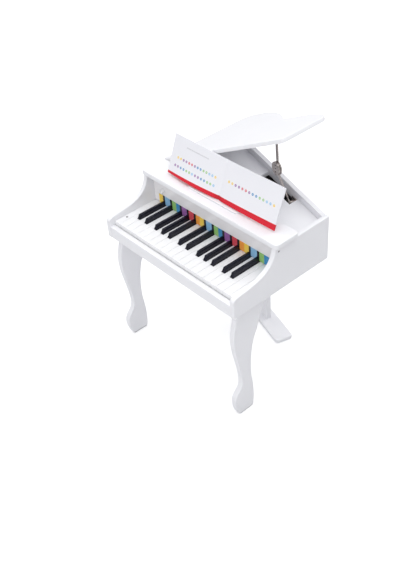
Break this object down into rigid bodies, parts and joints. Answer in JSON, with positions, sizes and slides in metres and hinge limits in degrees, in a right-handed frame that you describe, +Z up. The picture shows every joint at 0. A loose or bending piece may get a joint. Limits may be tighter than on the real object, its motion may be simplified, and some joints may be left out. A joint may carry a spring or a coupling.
{
  "type": "toy grand piano",
  "caption": "Child-size grand piano with pressable keys, a hinged lid on a folding stay, a music rest with an open book, curved front legs and a rear post on a foot plate.",
  "frame": {"origin": "on the floor, under the middle of the whole piano's bounding box", "axes": "+X to the player's right (treble side), +Y from the keyboard to the tail, +Z up"},
  "size_m": [0.4922, 0.522, 0.7038],
  "materials": {
    "white_paint": "satin white paint on board",
    "white_plastic": "smooth white plastic",
    "black_plastic": "glossy blue-black plastic",
    "nickel_plate": "nickel-plated steel",
    "printed_strip": "printed plastic strip in rainbow colours",
    "paper": "printed paper",
    "grey_rubber": "matt grey rubber",
    "green_board": "green lacquered circuit board",
    "dark_plastic": "dark grey moulded plastic"
  },
  "bodies": {
    "case": {"side_panel_left": "white_paint", "side_panel_right": "white_paint", "back_wall": "white_paint", "bottom_board": "white_paint", "sound_deck": "white_paint", "top_board": "white_paint", "front_rail": "white_paint", "fascia_board": "white_paint", "label_strip": "printed_strip", "key_frame": "white_plastic", "key_pivot_rod": "nickel_plate", "key_contact_strip": "grey_rubber", "circuit_board": "green_board", "speaker": "dark_plastic", "battery_box": "dark_plastic", "front_leg_left": "white_paint", "front_leg_right": "white_paint", "rear_post": "white_paint", "rear_foot": "white_paint", "lid_hinge_case_leaf": "nickel_plate", "lid_hinge_pin": "nickel_plate", "stay_case_bracket": "nickel_plate", "music_rest": "white_paint", "song_book": "paper"},
    "lid": {"lid": "white_paint", "lid_hinge_lid_leaf": "nickel_plate", "stay_lid_bracket": "nickel_plate"},
    "stay_lower": {"stay_lower_arm": "nickel_plate"},
    "stay_upper": {"stay_upper_arm": "nickel_plate"},
    "volume_knob": {"volume_knob": "white_plastic"},
    "white_key_01": {"white_key_01": "white_plastic"},
    "white_key_02": {"white_key_02": "white_plastic"},
    "white_key_03": {"white_key_03": "white_plastic"},
    "white_key_04": {"white_key_04": "white_plastic"},
    "white_key_05": {"white_key_05": "white_plastic"},
    "white_key_06": {"white_key_06": "white_plastic"},
    "white_key_07": {"white_key_07": "white_plastic"},
    "white_key_08": {"white_key_08": "white_plastic"},
    "white_key_09": {"white_key_09": "white_plastic"},
    "white_key_10": {"white_key_10": "white_plastic"},
    "white_key_11": {"white_key_11": "white_plastic"},
    "white_key_12": {"white_key_12": "white_plastic"},
    "white_key_13": {"white_key_13": "white_plastic"},
    "white_key_14": {"white_key_14": "white_plastic"},
    "white_key_15": {"white_key_15": "white_plastic"},
    "white_key_16": {"white_key_16": "white_plastic"},
    "white_key_17": {"white_key_17": "white_plastic"},
    "white_key_18": {"white_key_18": "white_plastic"},
    "black_key_01": {"black_key_01": "black_plastic"},
    "black_key_02": {"black_key_02": "black_plastic"},
    "black_key_03": {"black_key_03": "black_plastic"},
    "black_key_04": {"black_key_04": "black_plastic"},
    "black_key_05": {"black_key_05": "black_plastic"},
    "black_key_06": {"black_key_06": "black_plastic"},
    "black_key_07": {"black_key_07": "black_plastic"},
    "black_key_08": {"black_key_08": "black_plastic"},
    "black_key_09": {"black_key_09": "black_plastic"},
    "black_key_10": {"black_key_10": "black_plastic"},
    "black_key_11": {"black_key_11": "black_plastic"},
    "black_key_12": {"black_key_12": "black_plastic"}
  },
  "joints": [
    {"name": "lid_hinge", "type": "hinge", "parent": "case", "child": "lid", "pos_m": [-0.2426, 0.079, 0.47125], "axis": [0, -1, 0], "range_deg": [-27, 0]},
    {"name": "volume_turn", "type": "hinge", "parent": "case", "child": "volume_knob", "pos_m": [-0.188, -0.105, 0.431], "axis": [0, -1, 0], "range_deg": [-140, 140]},
    {"name": "stay_lower_turn", "type": "hinge", "parent": "case", "child": "stay_lower", "pos_m": [0.10231, 0.06848, 0.4395], "axis": [-0.3007, -0.9537, 0], "range_deg": [-0.5, 96.06]},
    {"name": "stay_upper_turn", "type": "hinge", "parent": "lid", "child": "stay_upper", "pos_m": [0.03298, 0.09034, 0.6045], "axis": [0, -1, 0], "range_deg": [-0.5, 12.46]},
    {"name": "white_key_01_press", "type": "hinge", "parent": "case", "child": "white_key_01", "pos_m": [-0.1955, -0.071, 0.379], "axis": [1, 0, 0], "range_deg": [0, 2.5], "stiffness_Nm_per_rad": 1, "springref_deg": -5.73},
    {"name": "white_key_02_press", "type": "hinge", "parent": "case", "child": "white_key_02", "pos_m": [-0.1725, -0.071, 0.379], "axis": [1, 0, 0], "range_deg": [0, 2.5], "stiffness_Nm_per_rad": 1, "springref_deg": -5.73},
    {"name": "white_key_03_press", "type": "hinge", "parent": "case", "child": "white_key_03", "pos_m": [-0.1495, -0.071, 0.379], "axis": [1, 0, 0], "range_deg": [0, 2.5], "stiffness_Nm_per_rad": 1, "springref_deg": -5.73},
    {"name": "white_key_04_press", "type": "hinge", "parent": "case", "child": "white_key_04", "pos_m": [-0.1265, -0.071, 0.379], "axis": [1, 0, 0], "range_deg": [0, 2.5], "stiffness_Nm_per_rad": 1, "springref_deg": -5.73},
    {"name": "white_key_05_press", "type": "hinge", "parent": "case", "child": "white_key_05", "pos_m": [-0.1035, -0.071, 0.379], "axis": [1, 0, 0], "range_deg": [0, 2.5], "stiffness_Nm_per_rad": 1, "springref_deg": -5.73},
    {"name": "white_key_06_press", "type": "hinge", "parent": "case", "child": "white_key_06", "pos_m": [-0.0805, -0.071, 0.379], "axis": [1, 0, 0], "range_deg": [0, 2.5], "stiffness_Nm_per_rad": 1, "springref_deg": -5.73},
    {"name": "white_key_07_press", "type": "hinge", "parent": "case", "child": "white_key_07", "pos_m": [-0.0575, -0.071, 0.379], "axis": [1, 0, 0], "range_deg": [0, 2.5], "stiffness_Nm_per_rad": 1, "springref_deg": -5.73},
    {"name": "white_key_08_press", "type": "hinge", "parent": "case", "child": "white_key_08", "pos_m": [-0.0345, -0.071, 0.379], "axis": [1, 0, 0], "range_deg": [0, 2.5], "stiffness_Nm_per_rad": 1, "springref_deg": -5.73},
    {"name": "white_key_09_press", "type": "hinge", "parent": "case", "child": "white_key_09", "pos_m": [-0.0115, -0.071, 0.379], "axis": [1, 0, 0], "range_deg": [0, 2.5], "stiffness_Nm_per_rad": 1, "springref_deg": -5.73},
    {"name": "white_key_10_press", "type": "hinge", "parent": "case", "child": "white_key_10", "pos_m": [0.0115, -0.071, 0.379], "axis": [1, 0, 0], "range_deg": [0, 2.5], "stiffness_Nm_per_rad": 1, "springref_deg": -5.73},
    {"name": "white_key_11_press", "type": "hinge", "parent": "case", "child": "white_key_11", "pos_m": [0.0345, -0.071, 0.379], "axis": [1, 0, 0], "range_deg": [0, 2.5], "stiffness_Nm_per_rad": 1, "springref_deg": -5.73},
    {"name": "white_key_12_press", "type": "hinge", "parent": "case", "child": "white_key_12", "pos_m": [0.0575, -0.071, 0.379], "axis": [1, 0, 0], "range_deg": [0, 2.5], "stiffness_Nm_per_rad": 1, "springref_deg": -5.73},
    {"name": "white_key_13_press", "type": "hinge", "parent": "case", "child": "white_key_13", "pos_m": [0.0805, -0.071, 0.379], "axis": [1, 0, 0], "range_deg": [0, 2.5], "stiffness_Nm_per_rad": 1, "springref_deg": -5.73},
    {"name": "white_key_14_press", "type": "hinge", "parent": "case", "child": "white_key_14", "pos_m": [0.1035, -0.071, 0.379], "axis": [1, 0, 0], "range_deg": [0, 2.5], "stiffness_Nm_per_rad": 1, "springref_deg": -5.73},
    {"name": "white_key_15_press", "type": "hinge", "parent": "case", "child": "white_key_15", "pos_m": [0.1265, -0.071, 0.379], "axis": [1, 0, 0], "range_deg": [0, 2.5], "stiffness_Nm_per_rad": 1, "springref_deg": -5.73},
    {"name": "white_key_16_press", "type": "hinge", "parent": "case", "child": "white_key_16", "pos_m": [0.1495, -0.071, 0.379], "axis": [1, 0, 0], "range_deg": [0, 2.5], "stiffness_Nm_per_rad": 1, "springref_deg": -5.73},
    {"name": "white_key_17_press", "type": "hinge", "parent": "case", "child": "white_key_17", "pos_m": [0.1725, -0.071, 0.379], "axis": [1, 0, 0], "range_deg": [0, 2.5], "stiffness_Nm_per_rad": 1, "springref_deg": -5.73},
    {"name": "white_key_18_press", "type": "hinge", "parent": "case", "child": "white_key_18", "pos_m": [0.1955, -0.071, 0.379], "axis": [1, 0, 0], "range_deg": [0, 2.5], "stiffness_Nm_per_rad": 1, "springref_deg": -5.73},
    {"name": "black_key_01_press", "type": "hinge", "parent": "case", "child": "black_key_01", "pos_m": [-0.187, -0.071, 0.379], "axis": [1, 0, 0], "range_deg": [0, 2.5], "stiffness_Nm_per_rad": 0.6, "springref_deg": -5.73},
    {"name": "black_key_02_press", "type": "hinge", "parent": "case", "child": "black_key_02", "pos_m": [-0.1583, -0.071, 0.379], "axis": [1, 0, 0], "range_deg": [0, 2.5], "stiffness_Nm_per_rad": 0.6, "springref_deg": -5.73},
    {"name": "black_key_03_press", "type": "hinge", "parent": "case", "child": "black_key_03", "pos_m": [-0.119, -0.071, 0.379], "axis": [1, 0, 0], "range_deg": [0, 2.5], "stiffness_Nm_per_rad": 0.6, "springref_deg": -5.73},
    {"name": "black_key_04_press", "type": "hinge", "parent": "case", "child": "black_key_04", "pos_m": [-0.092, -0.071, 0.379], "axis": [1, 0, 0], "range_deg": [0, 2.5], "stiffness_Nm_per_rad": 0.6, "springref_deg": -5.73},
    {"name": "black_key_05_press", "type": "hinge", "parent": "case", "child": "black_key_05", "pos_m": [-0.0653, -0.071, 0.379], "axis": [1, 0, 0], "range_deg": [0, 2.5], "stiffness_Nm_per_rad": 0.6, "springref_deg": -5.73},
    {"name": "black_key_06_press", "type": "hinge", "parent": "case", "child": "black_key_06", "pos_m": [-0.026, -0.071, 0.379], "axis": [1, 0, 0], "range_deg": [0, 2.5], "stiffness_Nm_per_rad": 0.6, "springref_deg": -5.73},
    {"name": "black_key_07_press", "type": "hinge", "parent": "case", "child": "black_key_07", "pos_m": [0.0027, -0.071, 0.379], "axis": [1, 0, 0], "range_deg": [0, 2.5], "stiffness_Nm_per_rad": 0.6, "springref_deg": -5.73},
    {"name": "black_key_08_press", "type": "hinge", "parent": "case", "child": "black_key_08", "pos_m": [0.042, -0.071, 0.379], "axis": [1, 0, 0], "range_deg": [0, 2.5], "stiffness_Nm_per_rad": 0.6, "springref_deg": -5.73},
    {"name": "black_key_09_press", "type": "hinge", "parent": "case", "child": "black_key_09", "pos_m": [0.069, -0.071, 0.379], "axis": [1, 0, 0], "range_deg": [0, 2.5], "stiffness_Nm_per_rad": 0.6, "springref_deg": -5.73},
    {"name": "black_key_10_press", "type": "hinge", "parent": "case", "child": "black_key_10", "pos_m": [0.0957, -0.071, 0.379], "axis": [1, 0, 0], "range_deg": [0, 2.5], "stiffness_Nm_per_rad": 0.6, "springref_deg": -5.73},
    {"name": "black_key_11_press", "type": "hinge", "parent": "case", "child": "black_key_11", "pos_m": [0.135, -0.071, 0.379], "axis": [1, 0, 0], "range_deg": [0, 2.5], "stiffness_Nm_per_rad": 0.6, "springref_deg": -5.73},
    {"name": "black_key_12_press", "type": "hinge", "parent": "case", "child": "black_key_12", "pos_m": [0.1637, -0.071, 0.379], "axis": [1, 0, 0], "range_deg": [0, 2.5], "stiffness_Nm_per_rad": 0.6, "springref_deg": -5.73}
  ],
  "couplings": [
    {"joint": "stay_lower_turn", "follows": "lid_hinge", "ratio": -3.5391},
    {"joint": "stay_upper_turn", "follows": "lid_hinge", "ratio": -0.44287}
  ]
}
